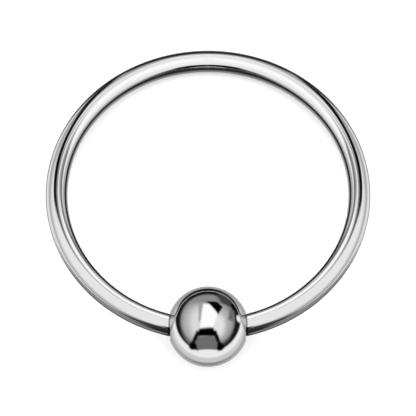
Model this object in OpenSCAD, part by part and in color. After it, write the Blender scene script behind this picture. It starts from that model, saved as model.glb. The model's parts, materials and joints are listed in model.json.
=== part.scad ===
// Captive bead ring: a springy wire hoop whose two ends hold a ball between them.
// The ball has a drilled dimple on each side, and each end of the wire sits in one.
// Millimetres, +Z up. The ring lies on the surface z = 0 as it would by itself, on the ball
// and on the far side of its wire, so its plane tilts a few degrees. The ball points to -Y.

/* [Hoop] */
// Diameter of the wire, 20 gauge
wire_d = 0.81; // [0.7:0.01:1.1]
// Inner diameter of the hoop, sprung open on the ball
hoop_inner_d = 10.5; // [7:0.1:16]
// Radius of the rounded edge at each end of the wire
end_round = 0.2; // [0.1:0.01:0.3]

/* [Bead] */
// Diameter of the ball
bead_d = 3; // [2.6:0.1:5]
// How far each end of the wire reaches into the ball, from the ball's widest point
seat_depth = 0.3; // [0.25:0.01:0.5]
// Clearance between the wire and the wall of its dimple
dimple_gap = 0.02; // [0.01:0.01:0.06]
// Width of the bevel round the mouth of each dimple
rim_bevel = 0.02; // [0.01:0.01:0.06]
// Point angle of the drill, which leaves a cone at the bottom of each dimple
drill_angle = 118; // [100:1:140]

/* [Hidden] */

$fn = 96;
// Bevels that make up the rounded edge at each end of the wire
round_steps = 3;

wire_r = wire_d / 2;
bead_r = bead_d / 2;
inner_r = hoop_inner_d / 2;
// Radius of the wire's centre line
hoop_r = inner_r + wire_r;

// The middle of each end face lies end_x from the middle of the gap, at end_angle round the
// hoop from there
end_x = bead_r - seat_depth;
end_angle = asin(end_x / hoop_r);
end_y = hoop_r * cos(end_angle);

// Distance from the hoop's centre to the ball's, which lies midway between the wire ends
bead_y = end_y;

// The wire curves inwards on its way out of the ball, so the dimple's wall has to clear the
// inner side of the wire as far out as wall_x, which the wall never passes
wall_x = sqrt(pow(bead_r, 2) - pow(wire_r, 2)) - rim_bevel;
dimple_r = bead_y - sqrt(pow(inner_r, 2) - pow(wall_x, 2)) + dimple_gap;
dimple_cone = dimple_r / tan(drill_angle / 2);
// Where the bevel at the dimple's mouth meets the surface of the ball
bevel_r = dimple_r + rim_bevel;
bevel_x = sqrt(pow(bead_r, 2) - pow(bevel_r, 2));

// The ring's plane tilts until the ball and the far side of the wire both touch z = 0
tilt = asin((bead_r - wire_r) / (bead_y + hoop_r));
hoop_z = wire_r + hoop_r * sin(tilt);
// Puts the middle of the ring's whole length, ball included, at y = 0
hoop_y = ((bead_y - hoop_r) * cos(tilt) + bead_r - wire_r) / 2;

// Takes a piece drawn level round the hoop's centre to where it lies
module at_rest() {
    translate([0, hoop_y, hoop_z])
        rotate([-tilt, 0, 0])
            children();
}

// A point on the rounded edge of a wire that points along +Z and ends at z = 0, as
// [distance from the wire's centre line, z]. It runs from the side, 0, to the end face, 90.
function edge_point(turn) =
    [wire_r - end_round * (1 - cos(turn)), -end_round * (1 - sin(turn))];

// What the rounding takes off such an end: a few bevels in a row, of which the first and the
// last run on past the metal to cut it cleanly
module rounding() {
    edge = [for (i = [0 : round_steps]) edge_point(90 * i / round_steps)];
    side_end = 2 * edge[0] - edge[1];
    face_end = 2 * edge[round_steps] - edge[round_steps - 1];
    rotate_extrude()
        polygon([
            side_end,
            for (i = [1 : round_steps - 1]) edge[i],
            face_end,
            [face_end.x, end_round],
            [wire_r + end_round, end_round],
            [wire_r + end_round, side_end.y],
        ]);
}

module hoop() {
    color("#b9bcc0")
    at_rest()
        difference() {
            rotate([0, 0, end_angle - 90])
                rotate_extrude(angle = 360 - 2 * end_angle)
                    translate([hoop_r, 0])
                        circle(r = wire_r);
            for (side = [0, 1])
                mirror([side, 0, 0])
                    rotate([0, 0, end_angle])
                        translate([0, -hoop_r, 0])
                            rotate([0, -90, 0])
                                rounding();
        }
}

// The hollow that takes one wire end, opening along +Z from the ball's centre
module dimple() {
    // The bevel runs on past the ball, so that it cuts the whole mouth
    past = bead_r + rim_bevel - bevel_x;
    rotate_extrude()
        polygon([
            [0, end_x - dimple_cone],
            [dimple_r, end_x],
            [dimple_r, bevel_x - rim_bevel],
            [bevel_r + past, bevel_x + past],
            [0, bevel_x + past],
        ]);
}

module bead() {
    color("#8f9296")
    at_rest()
        translate([0, -bead_y, 0])
            rotate([0, 90, 0])
                difference() {
                    sphere(r = bead_r);
                    for (side = [0, 1])
                        mirror([0, 0, side])
                            dimple();
                }
}

hoop();
bead();
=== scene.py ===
"""Captive bead ring: a springy steel wire hoop that grips a drilled steel ball between its ends.

Both pieces are surgical steel, polished to a mirror, so what the eye sees in them is what stands
round them. The wire and the ball each have lights of their own, which light that piece alone.
World units are metres, and sizes named _MM are millimetres.
"""

import json
import math

import bmesh
import bpy
from mathutils import Matrix, Vector


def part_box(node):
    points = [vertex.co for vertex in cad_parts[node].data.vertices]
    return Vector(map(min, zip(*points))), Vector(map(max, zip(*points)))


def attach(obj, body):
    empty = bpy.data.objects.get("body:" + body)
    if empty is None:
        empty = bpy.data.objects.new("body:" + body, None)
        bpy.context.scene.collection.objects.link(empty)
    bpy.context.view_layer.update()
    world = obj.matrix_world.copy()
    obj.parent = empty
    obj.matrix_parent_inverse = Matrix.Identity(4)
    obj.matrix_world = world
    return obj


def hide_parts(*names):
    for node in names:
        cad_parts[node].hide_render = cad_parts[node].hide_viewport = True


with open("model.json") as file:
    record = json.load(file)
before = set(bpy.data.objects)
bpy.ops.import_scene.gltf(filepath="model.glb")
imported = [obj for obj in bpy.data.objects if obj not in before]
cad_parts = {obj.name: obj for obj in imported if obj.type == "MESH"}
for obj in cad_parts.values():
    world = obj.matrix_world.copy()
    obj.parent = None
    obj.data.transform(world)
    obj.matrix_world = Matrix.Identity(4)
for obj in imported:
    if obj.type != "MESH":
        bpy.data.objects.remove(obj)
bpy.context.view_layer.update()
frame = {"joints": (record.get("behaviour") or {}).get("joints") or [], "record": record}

MM = 0.001

# What the frame says of the ring
HOOP_LOW, HOOP_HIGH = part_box("hoop")
BEAD_LOW, BEAD_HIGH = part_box("bead")
SEAT = frame["record"]["mounts"][0]
SPIN = frame["joints"][0]
WIRE_R = SEAT["dims"]["r_mm"] * MM
BEAD_R = (BEAD_HIGH.z - BEAD_LOW.z) / 2
BEAD_CENTRE = Vector(SPIN["pos_m"])
# The middle of the wire opposite the ball
FAR_WIRE = Vector(SEAT["pos_m"])
# Radius of the wire's centre line
HOOP_R = (HOOP_HIGH.x - HOOP_LOW.x) / 2 - WIRE_R
# The ring's plane leans back from the ball, which is thicker than the wire
ACROSS = FAR_WIRE - BEAD_CENTRE
TILT = math.atan2(-ACROSS.z, ACROSS.y)
HOOP_CENTRE = FAR_WIRE - ACROSS.normalized() * HOOP_R

# How the wire ends sit in the ball
SEAT_DEPTH = 0.3 * MM
DIMPLE_GAP = 0.02 * MM
RIM_BEVEL = 0.02 * MM
END_ROUND = 0.2 * MM
DRILL_ANGLE = math.radians(118)
# Half of the gap between the wire ends, along the spin axis and as an angle of the hoop
END_X = BEAD_R - SEAT_DEPTH
GAP_ANGLE = math.asin(END_X / HOOP_R)
# The dimple clears the wire's inner side where the wire curves out of the ball
WALL_X = math.sqrt(BEAD_R**2 - WIRE_R**2) - RIM_BEVEL
ENDS_Y = math.sqrt(HOOP_R**2 - END_X**2)
DIMPLE_R = ENDS_Y - math.sqrt((HOOP_R - WIRE_R) ** 2 - WALL_X**2) + DIMPLE_GAP
MOUTH_R = DIMPLE_R + RIM_BEVEL

# How finely the two pieces are bent and turned
HOOP_STEPS = 960
WIRE_STEPS = 48
BALL_TURN_STEPS = 192
BALL_PROFILE_STEPS = 96
RIM_STEPS = 6

# The camera looks down on the ring from the ball's side, through a long lens
CAMERA_ELEVATION = math.radians(68)
CAMERA_DISTANCE = 500 * MM
RING_SHARE_OF_FRAME = 0.78
# It sees from this many times nearer than the ring to this many times further
CAMERA_DEPTH = 100

# A Mix node's two colours are its inputs 6 and 7, and the mixture is its output 2
UNDER, OVER, MIXED = 6, 7, 2


def linear(hex_colour):
    """A hex sRGB colour as linear red, green, blue and alpha."""
    shares = [int(hex_colour[i : i + 2], 16) / 255 for i in (1, 3, 5)]
    return [s / 12.92 if s <= 0.04045 else ((s + 0.055) / 1.055) ** 2.4 for s in shares] + [1.0]


def add(tree, kind, settings=None, inputs=()):
    """Adds a node with its settings. Its inputs come in order, or in a dict by name or number.
    Each is a value, or a socket or node to link."""
    made = tree.nodes.new(kind)
    for name, value in (settings or {}).items():
        setattr(made, name, value)
    pairs = inputs.items() if isinstance(inputs, dict) else enumerate(inputs)
    for name, value in pairs:
        if isinstance(value, bpy.types.Node):
            value = value.outputs[0]
        if isinstance(value, bpy.types.NodeSocket):
            tree.links.new(value, made.inputs[name])
        else:
            made.inputs[name].default_value = value
    return made


def new_material(name):
    """An empty node material and its tree."""
    material = bpy.data.materials.new(name)
    material.use_nodes = True
    material.node_tree.nodes.clear()
    return material, material.node_tree


def new_object(name, shape, material):
    """An object made of a bmesh that isn't needed afterwards."""
    mesh = bpy.data.meshes.new(name)
    shape.to_mesh(mesh)
    shape.free()
    mesh.materials.append(material)
    made = bpy.data.objects.new(name, mesh)
    bpy.context.scene.collection.objects.link(made)
    return made


# Steel

# How bright polished surgical steel is, and how its gloss goes from clean to smudged
STEEL_HEX = "#D0D0D1"
WIRE_ROUGHNESS = (0.05, 0.12)
BALL_ROUGHNESS = (0.035, 0.09)
# Polishing leaves hairlines a few thousandths of a millimetre wide. They are drawn as coarse
# as the render needs to show them.
HAIRLINE_MM = 0.03
HAIRLINE_LENGTH_MM = 3.0
HAIRLINE_DEPTH_MM = 0.00005
# The soft ripple of a tumbled surface, and the smudges on it
RIPPLE_MM = 0.7
RIPPLE_DEPTH_MM = 0.0012
SMUDGE_MM = 1.4
# Smudge times hairline, from where the steel is still clean to where it is fully dulled
DULLING = (0.12, 0.42)
# Where the wire enters the ball, both are painted greyer: a painted shade for the shade and the
# ball's dark reflection at the joint
JOINT_SHADE_HEX = "#7A7A7A"
JOINT_SHADE_WIDTH_MM = 0.04


def place_on_ring(tree, centre):
    """Millimetres from a centre, in axes that lean with the ring's plane."""
    place = add(tree, "ShaderNodeTexCoord").outputs["Object"]
    return add(
        tree,
        "ShaderNodeMapping",
        {"vector_type": "TEXTURE"},
        {"Vector": place, "Location": centre, "Rotation": (-TILT, 0, 0), "Scale": (MM, MM, MM)},
    )


def marked_steel(tree, place, marks, roughness, joint_shade):
    """Mirror-polished steel with hairline marks and a soft ripple, dulled in patches, and
    darkened with a painted shade where the wire and the ball meet."""
    ripple = add(
        tree,
        "ShaderNodeTexNoise",
        {},
        {"Vector": place, "Scale": 1 / RIPPLE_MM, "Detail": 1.0, "Roughness": 0.4},
    )
    smudges = add(
        tree,
        "ShaderNodeTexNoise",
        {},
        {"Vector": place, "Scale": 1 / SMUDGE_MM, "Detail": 4.0, "Roughness": 0.55},
    )
    dulling = add(tree, "ShaderNodeMath", {"operation": "MULTIPLY"}, (smudges, marks))
    gloss = add(
        tree,
        "ShaderNodeMapRange",
        {"interpolation_type": "SMOOTHSTEP"},
        {
            0: dulling,
            "From Min": DULLING[0],
            "From Max": DULLING[1],
            "To Min": roughness[0],
            "To Max": roughness[1],
        },
    )
    waves = add(tree, "ShaderNodeBump", {}, {"Height": ripple, "Distance": RIPPLE_DEPTH_MM * MM})
    lines = add(
        tree,
        "ShaderNodeBump",
        {},
        {"Height": marks, "Distance": HAIRLINE_DEPTH_MM * MM, "Normal": waves},
    )
    # Painted shade: the steel's colour is mixed towards grey where the wire and the ball meet
    colour = add(
        tree,
        "ShaderNodeMix",
        {"data_type": "RGBA"},
        {0: joint_shade, UNDER: linear(STEEL_HEX), OVER: linear(JOINT_SHADE_HEX)},
    ).outputs[MIXED]
    steel = add(
        tree,
        "ShaderNodeBsdfPrincipled",
        {},
        {"Base Color": colour, "Metallic": 1.0, "Roughness": gloss, "Normal": lines},
    )
    add(tree, "ShaderNodeOutputMaterial", {}, (steel,))


def polished_wire():
    """316L stainless steel wire, drawn, bent and tumbled: a mirror with faint hairlines along
    the wire, so its reflections run round the hoop as long clean streaks."""
    material, tree = new_material("polished 316L steel wire")
    place = place_on_ring(tree, HOOP_CENTRE)
    x, y, z = add(tree, "ShaderNodeSeparateXYZ", {}, (place,)).outputs
    flat = add(tree, "ShaderNodeCombineXYZ", {}, (x, y))
    radius = add(tree, "ShaderNodeVectorMath", {"operation": "LENGTH"}, (flat,)).outputs["Value"]
    # The pattern changes fast across the wire, by radius and height, and slowly along it
    across = add(tree, "ShaderNodeCombineXYZ", {}, (radius, z))
    fine = add(
        tree, "ShaderNodeVectorMath", {"operation": "SCALE"}, {0: across, "Scale": 1 / HAIRLINE_MM}
    )
    along_x = add(tree, "ShaderNodeMath", {"operation": "DIVIDE"}, (x, HAIRLINE_LENGTH_MM))
    along_y = add(tree, "ShaderNodeMath", {"operation": "DIVIDE"}, (y, HAIRLINE_LENGTH_MM))
    drift = add(tree, "ShaderNodeCombineXYZ", {}, {"Z": along_x})
    drawn = add(tree, "ShaderNodeVectorMath", {"operation": "ADD"}, (fine, drift))
    hairlines = add(
        tree,
        "ShaderNodeTexNoise",
        {"noise_dimensions": "4D"},
        {"Vector": drawn, "W": along_y, "Scale": 1.0, "Detail": 2.0},
    )
    # Painted shade: the wire is painted greyer within a short width of the ball, where the ball
    # shades it and shows dark in it
    from_ball = add(
        tree,
        "ShaderNodeVectorMath",
        {"operation": "LENGTH"},
        (place_on_ring(tree, BEAD_CENTRE),),
    ).outputs["Value"]
    joint_shade = add(
        tree,
        "ShaderNodeMapRange",
        {"interpolation_type": "SMOOTHSTEP"},
        {
            0: from_ball,
            "From Min": BEAD_R / MM,
            "From Max": BEAD_R / MM + JOINT_SHADE_WIDTH_MM,
            "To Min": 1.0,
            "To Max": 0.0,
        },
    )
    marked_steel(tree, place, hairlines, WIRE_ROUGHNESS, joint_shade)
    return material


def polished_ball():
    """A 316L stainless steel ball, ground and lapped: the sharper mirror of the two, with the
    finest of rings round its spin axis."""
    material, tree = new_material("polished 316L steel ball")
    place = place_on_ring(tree, BEAD_CENTRE)
    fine, slow = 1 / HAIRLINE_MM, 1 / HAIRLINE_LENGTH_MM
    lapped = add(
        tree, "ShaderNodeVectorMath", {"operation": "MULTIPLY"}, (place, (fine, slow, slow))
    )
    rings = add(tree, "ShaderNodeTexNoise", {}, {"Vector": lapped, "Scale": 1.0, "Detail": 2.0})
    _, y, z = add(tree, "ShaderNodeSeparateXYZ", {}, (place,)).outputs
    off_axis = add(tree, "ShaderNodeCombineXYZ", {}, {"Y": y, "Z": z})
    from_axis = add(tree, "ShaderNodeVectorMath", {"operation": "LENGTH"}, (off_axis,))
    # The dimples, which are left as they were drilled, are painted darker: painted shade in the
    # hollows and the gap round the wire
    joint_shade = add(
        tree,
        "ShaderNodeMath",
        {"operation": "LESS_THAN"},
        (from_axis.outputs["Value"], MOUTH_R / MM),
    )
    marked_steel(tree, place, rings, BALL_ROUGHNESS, joint_shade)
    return material


# The wire hoop


def bent_wire(material):
    """Geometry nodes for a round wire bent round a gap, with the edge of each end rounded."""
    tree = bpy.data.node_groups.new("bent wire", "GeometryNodeTree")
    for name in ("Centre radius", "Wire radius", "Gap angle", "End rounding"):
        tree.interface.new_socket(name, in_out="INPUT", socket_type="NodeSocketFloat")
    for name in ("Steps along", "Steps round"):
        tree.interface.new_socket(name, in_out="INPUT", socket_type="NodeSocketInt")
    for name in ("Lean", "Middle"):
        tree.interface.new_socket(name, in_out="INPUT", socket_type="NodeSocketVector")
    tree.interface.new_socket("Wire", in_out="OUTPUT", socket_type="NodeSocketGeometry")
    sizes = add(tree, "NodeGroupInput").outputs
    rounding = sizes["End rounding"]

    # The bend runs from one side of the gap at the front, round the back, to the other
    both_gaps = add(tree, "ShaderNodeMath", {"operation": "MULTIPLY"}, (sizes["Gap angle"], 2))
    sweep = add(tree, "ShaderNodeMath", {"operation": "SUBTRACT"}, (math.tau, both_gaps))
    start = add(
        tree, "ShaderNodeMath", {"operation": "SUBTRACT"}, (sizes["Gap angle"], math.pi / 2)
    )
    bend = add(
        tree,
        "GeometryNodeCurveArc",
        {"mode": "RADIUS"},
        {
            "Resolution": sizes["Steps along"],
            "Radius": sizes["Centre radius"],
            "Start Angle": start,
            "Sweep Angle": sweep,
        },
    )
    # How far a point is from the nearer end, as far as the rounding goes
    run = add(tree, "GeometryNodeSplineParameter").outputs["Length"]
    length = add(tree, "GeometryNodeSplineLength").outputs["Length"]
    other_run = add(tree, "ShaderNodeMath", {"operation": "SUBTRACT"}, (length, run))
    nearer = add(tree, "ShaderNodeMath", {"operation": "MINIMUM"}, (run, other_run))
    inwards = add(tree, "ShaderNodeMath", {"operation": "MINIMUM"}, (nearer, rounding))
    # The edge is a quarter circle, and the wire is narrower there
    still = add(tree, "ShaderNodeMath", {"operation": "SUBTRACT"}, (rounding, inwards))
    still_squared = add(tree, "ShaderNodeMath", {"operation": "POWER"}, (still, 2))
    whole_squared = add(tree, "ShaderNodeMath", {"operation": "POWER"}, (rounding, 2))
    rise_squared = add(
        tree, "ShaderNodeMath", {"operation": "SUBTRACT"}, (whole_squared, still_squared)
    )
    rise = add(tree, "ShaderNodeMath", {"operation": "SQRT"}, (rise_squared,))
    face = add(
        tree, "ShaderNodeMath", {"operation": "SUBTRACT"}, (sizes["Wire radius"], rounding)
    )
    radius = add(tree, "ShaderNodeMath", {"operation": "ADD"}, (face, rise))
    section = add(
        tree,
        "GeometryNodeCurvePrimitiveCircle",
        {},
        {"Resolution": sizes["Steps round"], "Radius": 1.0},
    )
    wire = add(
        tree,
        "GeometryNodeCurveToMesh",
        {},
        {"Curve": bend, "Profile Curve": section, "Scale": radius, "Fill Caps": True},
    )
    smooth = add(tree, "GeometryNodeSetShadeSmooth", {}, (wire,))
    laid = add(
        tree,
        "GeometryNodeTransform",
        {},
        {"Geometry": smooth, "Rotation": sizes["Lean"], "Translation": sizes["Middle"]},
    )
    real = add(tree, "GeometryNodeRealizeInstances", {}, (laid,))
    clad = add(tree, "GeometryNodeSetMaterial", {}, {"Geometry": real, "Material": material})
    add(tree, "NodeGroupOutput", {}, (clad,))
    return tree


def grow(name, tree, sizes):
    """The plain mesh that a geometry node tree makes, in an object of its own."""
    made = bpy.data.objects.new(name, bpy.data.meshes.new("seed"))
    bpy.context.scene.collection.objects.link(made)
    modifier = made.modifiers.new(name, "NODES")
    modifier.node_group = tree
    for socket in tree.interface.items_tree:
        if socket.in_out == "INPUT":
            modifier[socket.identifier] = sizes[socket.name]
    evaluated = made.evaluated_get(bpy.context.evaluated_depsgraph_get())
    mesh = bpy.data.meshes.new_from_object(evaluated)
    mesh.name = name
    made.modifiers.remove(modifier)
    made.data = mesh
    return made


def make_hoop():
    """The wire hoop, at its real size and leaning back from the ball."""
    sizes = {
        "Centre radius": HOOP_R,
        "Wire radius": WIRE_R,
        "Gap angle": GAP_ANGLE,
        "End rounding": END_ROUND,
        "Steps along": HOOP_STEPS,
        "Steps round": WIRE_STEPS,
        "Lean": (-TILT, 0, 0),
        "Middle": HOOP_CENTRE,
    }
    return grow("polished_hoop", bent_wire(polished_wire()), sizes)


# The ball


def half_outline():
    """The ball's outline from the point of a dimple to its widest ring, as distances along the
    spin axis and from it."""
    cone = DIMPLE_R / math.tan(DRILL_ANGLE / 2)
    rim_angle = math.asin(MOUTH_R / BEAD_R)
    rim = Vector((math.cos(rim_angle), math.sin(rim_angle))) * BEAD_R
    wall_end = Vector((rim.x - RIM_BEVEL, DIMPLE_R))
    corner = Vector((math.sqrt(BEAD_R**2 - DIMPLE_R**2), DIMPLE_R))

    points = [Vector((END_X - cone, 0)), Vector((END_X, DIMPLE_R))]
    # The mouth's edge is broken with a small curve
    for step in range(RIM_STEPS + 1):
        share = step / RIM_STEPS
        points.append(wall_end.lerp(corner, share).lerp(corner.lerp(rim, share), share))
    for step in range(1, BALL_PROFILE_STEPS + 1):
        angle = rim_angle + (math.pi / 2 - rim_angle) * step / BALL_PROFILE_STEPS
        points.append(Vector((math.cos(angle), math.sin(angle))) * BEAD_R)
    return points


def make_ball():
    """A ball with a drilled dimple on each side, turned round its spin axis."""
    half = half_outline()
    outline = half + [Vector((-p.x, p.y)) for p in reversed(half[:-1])]
    shape = bmesh.new()
    rings = []
    for x, radius in outline:
        steps = BALL_TURN_STEPS if radius > 0 else 1
        turns = [math.tau * step / steps for step in range(steps)]
        spots = [(x, radius * math.cos(turn), radius * math.sin(turn)) for turn in turns]
        rings.append([shape.verts.new(spot) for spot in spots])
    for ring, following in zip(rings, rings[1:]):
        for step in range(BALL_TURN_STEPS):
            corners = (
                ring[step % len(ring)],
                ring[(step + 1) % len(ring)],
                following[(step + 1) % len(following)],
                following[step % len(following)],
            )
            # At a dimple's point two of the corners are the same
            shape.faces.new(dict.fromkeys(corners))
    bmesh.ops.recalc_face_normals(shape, faces=shape.faces)
    for face in shape.faces:
        face.smooth = True
    place = Matrix.Translation(BEAD_CENTRE) @ Matrix.Rotation(-TILT, 4, "X")
    bmesh.ops.transform(shape, matrix=place, verts=shape.verts)
    return new_object("polished_bead", shape, polished_ball())


# The studio

# The wire's tent is a dome close round the ring, and the ball's is a wide one
WIRE_TENT_R = 22 * MM
BALL_TENT_R = 100 * MM
FLOOR_R = 600 * MM
# How finely the tents, the table, the sheet and the floor are made
STUDIO_STEPS = 64
WHITE_HEX = "#FFFFFF"
FLOOR_HEX = "#F4F4F4"
FLOOR_ROUGHNESS = 0.5
FLOOR_LIGHT = 1.8
# The lights are this much brighter than the steel shows them
CARD_STRENGTH = 1.55
TABLE_DEPTH = 0.02 * MM

# The tents, the table and the sheet are painted with cards, each over those before it. A card is
# a shade, about as it looks in the steel, then the softness of its edge, and then either its
# corners, counter-clockwise, or its middle and its two radii.

# A tent's cards lie on a plan of it: degrees from straight overhead, to the right and to the
# back, so that the level all round is 90 degrees out. The wire's tent is the same on both sides.
WIRE_TENT_HEX = "#A8A8A8"
WIRE_TENT = (
    # Pale overhead and on towards the back
    ("#E8E8E8", 24, (0, -2), (76, 60)),
    ("#E8E8E8", 10, [(-18, 38), (18, 38), (10, 68), (-10, 68)]),
    # Dark in front, darkest in its middle, and dark low at the back
    ("#303030", 15, (0, -102), (110, 46)),
    ("#0C0C0C", 4, [(-22, -84), (22, -84), (24, -50), (-24, -50)]),
    ("#343434", 6, [(-30, 77), (30, 77), (38, 106), (-38, 106)]),
    # A small grey patch behind the middle, and a black streak from there down each side
    ("#808080", 8, [(5, 26), (22, 24), (24, 37), (5, 37)]),
    ("#101010", 7, [(17, 24), (42, 25), (46, 40), (42, 54), (29, 54), (20, 40)]),
    ("#060606", 8, [(27, 44), (39, 44), (50, 66), (52, 94), (38, 94), (31, 70)]),
)
# On a sheet that stands on edge over the hoop's middle: millimetres to the back and up from
# there. It brightens what each half of the wire reflects of the other half's side.
WIRE_SHEET_HEX = "#000000"
WIRE_SHEET = (
    (
        "#707070",
        1.5,
        [(3.6, -0.6), (4.4, -0.4), (14.5, 5), (16, 11), (11.5, 16.5), (7, 18.5), (3.1, 4)],
    ),
    (
        "#7C7C7C",
        2.5,
        [(3.2, 3.5), (10, 3.5), (15, 6), (16, 11), (11.5, 16.5), (7, 18.5), (3.6, 6.5)],
    ),
)
# On the table under the wire: millimetres to either side, and to the back, from the hoop's
# middle
WIRE_TABLE_HEX = "#DCDCDC"
WIRE_TABLE = (
    # Dark behind the ring, and grey with black in it in front of the ring
    ("#282828", 2.5, [(-1, 3), (5.5, 3), (9.5, 15), (9.5, 60), (-1, 60)]),
    ("#848484", 3.0, [(-1, -60), (40, -60), (8, -2.5), (-1, -2.5)]),
    ("#101010", 3.0, [(-1, -60), (30, -60), (5, -8.5), (-1, -7.0)]),
    ("#181818", 1.0, [(-1, -10), (2, -10), (2, -4), (-1, -4)]),
    # Dark under the wire and within the hoop, with a grey ring between the two
    ("#282828", 0.8, (0, 0.7), (6.9, 7.5)),
    ("#A0A0A0", 1.0, (0, 0.7), (5.3, 6.2)),
    ("#282828", 1.2, (0, 0), (4.0, 4.9)),
    ("#101010", 1.5, (0, -2.5), (5.0, 3.0)),
)
BALL_TENT_HEX = "#A0A0A0"
BALL_TENT = (
    # The floor, grey low down in front and lightest near the level, and the dark level itself
    ("#848484", 10, (0, -34), (138, 136)),
    ("#C8C8C8", 14, (0, -20), (137, 127)),
    ("#ECECEC", 14, (0, -8), (118, 114)),
    ("#141414", 8, (0, 10), (102, 110)),
    # The walls, lighter upwards
    ("#7C7C7C", 12, (-1, 3), (80, 81)),
    ("#B8B8B8", 34, (-36, -6), (40, 60)),
    ("#B0B0B0", 30, (36, -6), (36, 54)),
    ("#DCDCDC", 26, (-26, -10), (26, 46)),
    ("#E4E4E4", 20, (30, -16), (20, 34)),
    ("#8C8C8C", 14, (0, 66), (40, 12)),
    # The window and its frame
    ("#A0A0A0", 7, [(-26, -6), (-16, 0), (-10, 50), (-24, 50)]),
    ("#FFFFFF", 9, [(-22, -22), (14, -22), (26, 10), (24, 30), (8, 46), (-12, 48), (-17, 20)]),
    ("#040404", 6, [(28, 16), (40, 42), (24, 56), (-4, 56)]),
    # Dark things on the right and at the back
    ("#686868", 12, [(58, 8), (74, 8), (74, 44), (60, 44)]),
    ("#404040", 14, [(30, 104), (22, 80), (34, 56), (60, 50), (66, 70), (50, 100)]),
    ("#000000", 8, (74, 64), (12, 12)),
    ("#F0F0F0", 8, (92, 30), (8, 11)),
    # The stand in front: two feet, grey between its legs, and a black top
    ("#ECECEC", 8, [(-38, -112), (38, -112), (36, -88), (-36, -88)]),
    ("#000000", 9, (-54, -74), (17, 13)),
    ("#000000", 9, (44, -78), (15, 13)),
    ("#6C6C6C", 9, [(-42, -48), (-38, -89), (32, -89), (32, -48)]),
    ("#080808", 10, [(-60, -66), (-48, -74), (-22, -34), (-34, -30)]),
    ("#080808", 8, [(36, -76), (48, -72), (24, -30), (12, -34)]),
    ("#000000", 8, [(-34, -48), (24, -48), (16, -24), (-26, -26)]),
)


def glowing(tree, shade):
    """Light of a painted shade, which lets what is behind it shine through."""
    glow = add(tree, "ShaderNodeEmission", {}, (shade, CARD_STRENGTH))
    clear = add(tree, "ShaderNodeBsdfTransparent")
    both = add(tree, "ShaderNodeAddShader", {}, (glow, clear))
    add(tree, "ShaderNodeOutputMaterial", {}, (both,))


def tent_plan(tree):
    """Degrees from straight overhead, to the right and to the back."""
    place = add(tree, "ShaderNodeTexCoord").outputs["Object"]
    way = add(tree, "ShaderNodeVectorMath", {"operation": "NORMALIZE"}, (place,))
    x, y, z = add(tree, "ShaderNodeSeparateXYZ", {}, (way,)).outputs
    flat = add(tree, "ShaderNodeCombineXYZ", {}, (x, y))
    out = add(tree, "ShaderNodeVectorMath", {"operation": "LENGTH"}, (flat,)).outputs["Value"]
    angle = add(tree, "ShaderNodeMath", {"operation": "ARCTAN2"}, (out, z))
    degrees = add(tree, "ShaderNodeMath", {"operation": "DEGREES"}, (angle,))
    stretch = add(tree, "ShaderNodeMath", {"operation": "DIVIDE"}, (degrees, out))
    return add(tree, "ShaderNodeVectorMath", {"operation": "SCALE"}, {0: flat, "Scale": stretch})


def table_plan(tree):
    """Millimetres to the right and to the back."""
    place = add(tree, "ShaderNodeTexCoord").outputs["Object"]
    return add(tree, "ShaderNodeVectorMath", {"operation": "SCALE"}, {0: place, "Scale": 1 / MM})


def sheet_plan(tree):
    """Millimetres to the back and up."""
    _, back, up = add(tree, "ShaderNodeSeparateXYZ", {}, (table_plan(tree),)).outputs
    return add(tree, "ShaderNodeCombineXYZ", {}, (back, up))


def both_sides(tree, plan):
    """A plan whose left side is the mirror image of its right."""
    x, y, _ = add(tree, "ShaderNodeSeparateXYZ", {}, (plan,)).outputs
    aside = add(tree, "ShaderNodeMath", {"operation": "ABSOLUTE"}, (x,))
    return add(tree, "ShaderNodeCombineXYZ", {}, (aside, y))


def depth_in_oval(tree, plan, middle, radii):
    """How far a point of a plan is inside an oval card."""
    from_middle = add(tree, "ShaderNodeVectorMath", {"operation": "SUBTRACT"}, (plan, (*middle, 0)))
    shares = add(tree, "ShaderNodeVectorMath", {"operation": "DIVIDE"}, (from_middle, (*radii, 1)))
    share = add(tree, "ShaderNodeVectorMath", {"operation": "LENGTH"}, (shares,)).outputs["Value"]
    left = add(tree, "ShaderNodeMath", {"operation": "SUBTRACT"}, (1, share))
    return add(tree, "ShaderNodeMath", {"operation": "MULTIPLY"}, (left, min(radii)))


def depth_in_corners(tree, plan, corners):
    """How far a point of a plan is inside the nearest edge of a card with corners."""
    depth = None
    for corner, following in zip(corners, corners[1:] + corners[:1]):
        edge = (Vector(following) - Vector(corner)).normalized()
        from_corner = add(
            tree, "ShaderNodeVectorMath", {"operation": "SUBTRACT"}, (plan, (*corner, 0))
        )
        inside = add(
            tree,
            "ShaderNodeVectorMath",
            {"operation": "DOT_PRODUCT"},
            (from_corner, (-edge.y, edge.x, 0)),
        ).outputs["Value"]
        if depth:
            inside = add(tree, "ShaderNodeMath", {"operation": "MINIMUM"}, (depth, inside))
        depth = inside
    return depth


def painted(tree, plan, ground_hex, cards):
    """The shade of a ground with cards painted over it in turn."""
    shade = linear(ground_hex)
    for card_hex, softness, *outline in cards:
        if len(outline) == 2:
            depth = depth_in_oval(tree, plan, *outline)
        else:
            depth = depth_in_corners(tree, plan, *outline)
        cover = add(
            tree,
            "ShaderNodeMapRange",
            {"interpolation_type": "SMOOTHSTEP"},
            {0: depth, "From Min": -softness / 2, "From Max": softness / 2},
        )
        shade = add(
            tree,
            "ShaderNodeMix",
            {"data_type": "RGBA"},
            {0: cover, UNDER: shade, OVER: linear(card_hex)},
        ).outputs[MIXED]
    return shade


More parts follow.
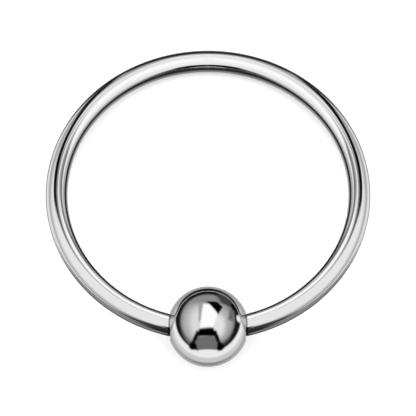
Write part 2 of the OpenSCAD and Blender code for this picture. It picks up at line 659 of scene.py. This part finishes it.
def light_only(thing, piece):
    """Makes a glowing surface light one piece alone, and shows it in reflections only."""
    lit = bpy.data.collections.new(thing.name + " lights")
    lit.objects.link(piece)
    thing.light_linking.receiver_collection = lit
    for material in thing.data.materials:
        material.cycles.emission_sampling = "NONE"
    thing.visible_camera = False
    thing.visible_diffuse = False
    thing.visible_shadow = False


def disc(radius):
    """A level round disc."""
    shape = bmesh.new()
    bmesh.ops.create_circle(shape, cap_ends=True, segments=STUDIO_STEPS, radius=radius)
    return shape


def cut_below(shape, height):
    """Takes away what of a shape is below a height."""
    bmesh.ops.bisect_plane(
        shape,
        geom=shape.verts[:] + shape.edges[:] + shape.faces[:],
        plane_co=(0, 0, height),
        plane_no=(0, 0, 1),
        clear_inner=True,
    )


def put_up(name, shape, material, place, piece):
    """Puts a glowing shape in its place, where it lights one piece alone."""
    made = new_object(name, shape, material)
    made.location = place
    light_only(made, piece)


def make_tent(name, material, centre, piece, radius, down_to):
    """A round tent that lights one piece alone, down to a height from its middle."""
    shape = bmesh.new()
    bmesh.ops.create_uvsphere(
        shape, u_segments=STUDIO_STEPS, v_segments=STUDIO_STEPS // 2, radius=radius
    )
    cut_below(shape, down_to)
    put_up(name, shape, material, centre, piece)


def make_wire_lights(hoop):
    """The wire's tent, a table just under the wire, and a sheet on edge over the hoop's middle."""
    material, tree = new_material("wire tent")
    shade = painted(tree, both_sides(tree, tent_plan(tree)), WIRE_TENT_HEX, WIRE_TENT)
    glowing(tree, shade)
    make_tent("wire_tent", material, HOOP_CENTRE, hoop, WIRE_TENT_R, -HOOP_CENTRE.z)

    material, tree = new_material("wire table")
    shade = painted(tree, both_sides(tree, table_plan(tree)), WIRE_TABLE_HEX, WIRE_TABLE)
    glowing(tree, shade)
    under_hoop = (HOOP_CENTRE.x, HOOP_CENTRE.y, -TABLE_DEPTH)
    put_up("wire_table", disc(WIRE_TENT_R), material, under_hoop, hoop)

    material, tree = new_material("wire sheet")
    glowing(tree, painted(tree, sheet_plan(tree), WIRE_SHEET_HEX, WIRE_SHEET))
    sheet = disc(WIRE_TENT_R)
    on_edge = Matrix.Rotation(math.pi / 2, 4, "Y")
    bmesh.ops.transform(sheet, matrix=on_edge, verts=sheet.verts)
    cut_below(sheet, -HOOP_CENTRE.z)
    put_up("wire_sheet", sheet, material, HOOP_CENTRE, hoop)


def make_ball_lights(ball):
    """The ball's tent: a room with a bright window, over a pale floor."""
    material, tree = new_material("ball tent")
    glowing(tree, painted(tree, tent_plan(tree), BALL_TENT_HEX, BALL_TENT))
    make_tent("ball_tent", material, BEAD_CENTRE, ball, BALL_TENT_R, -BALL_TENT_R)


def make_world():
    """White to the camera and over the floor, and black behind the tents."""
    world = bpy.data.worlds.new("studio")
    bpy.context.scene.world = world
    world.use_nodes = True
    tree = world.node_tree
    tree.nodes.clear()
    path = add(tree, "ShaderNodeLightPath").outputs
    backdrop = add(tree, "ShaderNodeBackground", {}, (linear(WHITE_HEX), 1.0))
    daylight = add(tree, "ShaderNodeBackground", {}, (linear(WHITE_HEX), FLOOR_LIGHT))
    black = add(tree, "ShaderNodeBackground", {}, (linear(WHITE_HEX), 0.0))
    unseen = add(tree, "ShaderNodeMixShader", {}, (path["Is Glossy Ray"], daylight, black))
    seen = add(tree, "ShaderNodeMixShader", {}, (path["Is Camera Ray"], unseen, backdrop))
    add(tree, "ShaderNodeOutputWorld", {}, (seen,))


def make_floor():
    """A plain pale floor, which the steel doesn't mirror."""
    material, tree = new_material("matt white paper")
    paper = add(tree, "ShaderNodeBsdfDiffuse", {}, (linear(FLOOR_HEX), FLOOR_ROUGHNESS))
    add(tree, "ShaderNodeOutputMaterial", {}, (paper,))
    floor = new_object("floor", disc(FLOOR_R), material)
    floor.visible_glossy = False


def make_camera():
    """A long lens on the middle of the ring's outline, from the far wire to the near side of the
    ball."""
    towards = Vector((0, -math.cos(CAMERA_ELEVATION), math.sin(CAMERA_ELEVATION)))
    up = Vector((0, math.sin(CAMERA_ELEVATION), math.cos(CAMERA_ELEVATION)))
    highest = FAR_WIRE.dot(up) + WIRE_R
    lowest = BEAD_CENTRE.dot(up) - BEAD_R
    aim = HOOP_CENTRE + up * ((highest + lowest) / 2 - HOOP_CENTRE.dot(up))
    data = bpy.data.cameras.new("camera")
    view_width = 2 * (HOOP_R + WIRE_R) / RING_SHARE_OF_FRAME
    data.lens = data.sensor_width * CAMERA_DISTANCE / view_width
    data.clip_start = CAMERA_DISTANCE / CAMERA_DEPTH
    data.clip_end = CAMERA_DISTANCE * CAMERA_DEPTH
    camera = bpy.data.objects.new("camera", data)
    camera.location = aim + towards * CAMERA_DISTANCE
    camera.rotation_euler = (-towards).to_track_quat("-Z", "Y").to_euler()
    bpy.context.scene.collection.objects.link(camera)
    bpy.context.scene.camera = camera


hoop = make_hoop()
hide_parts("hoop")
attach(hoop, "hoop")

ball = make_ball()
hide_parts("bead")
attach(ball, "bead")

make_camera()
make_world()
make_floor()
make_wire_lights(hoop)
make_ball_lights(ball)
bpy.context.scene.view_settings.view_transform = "Standard"
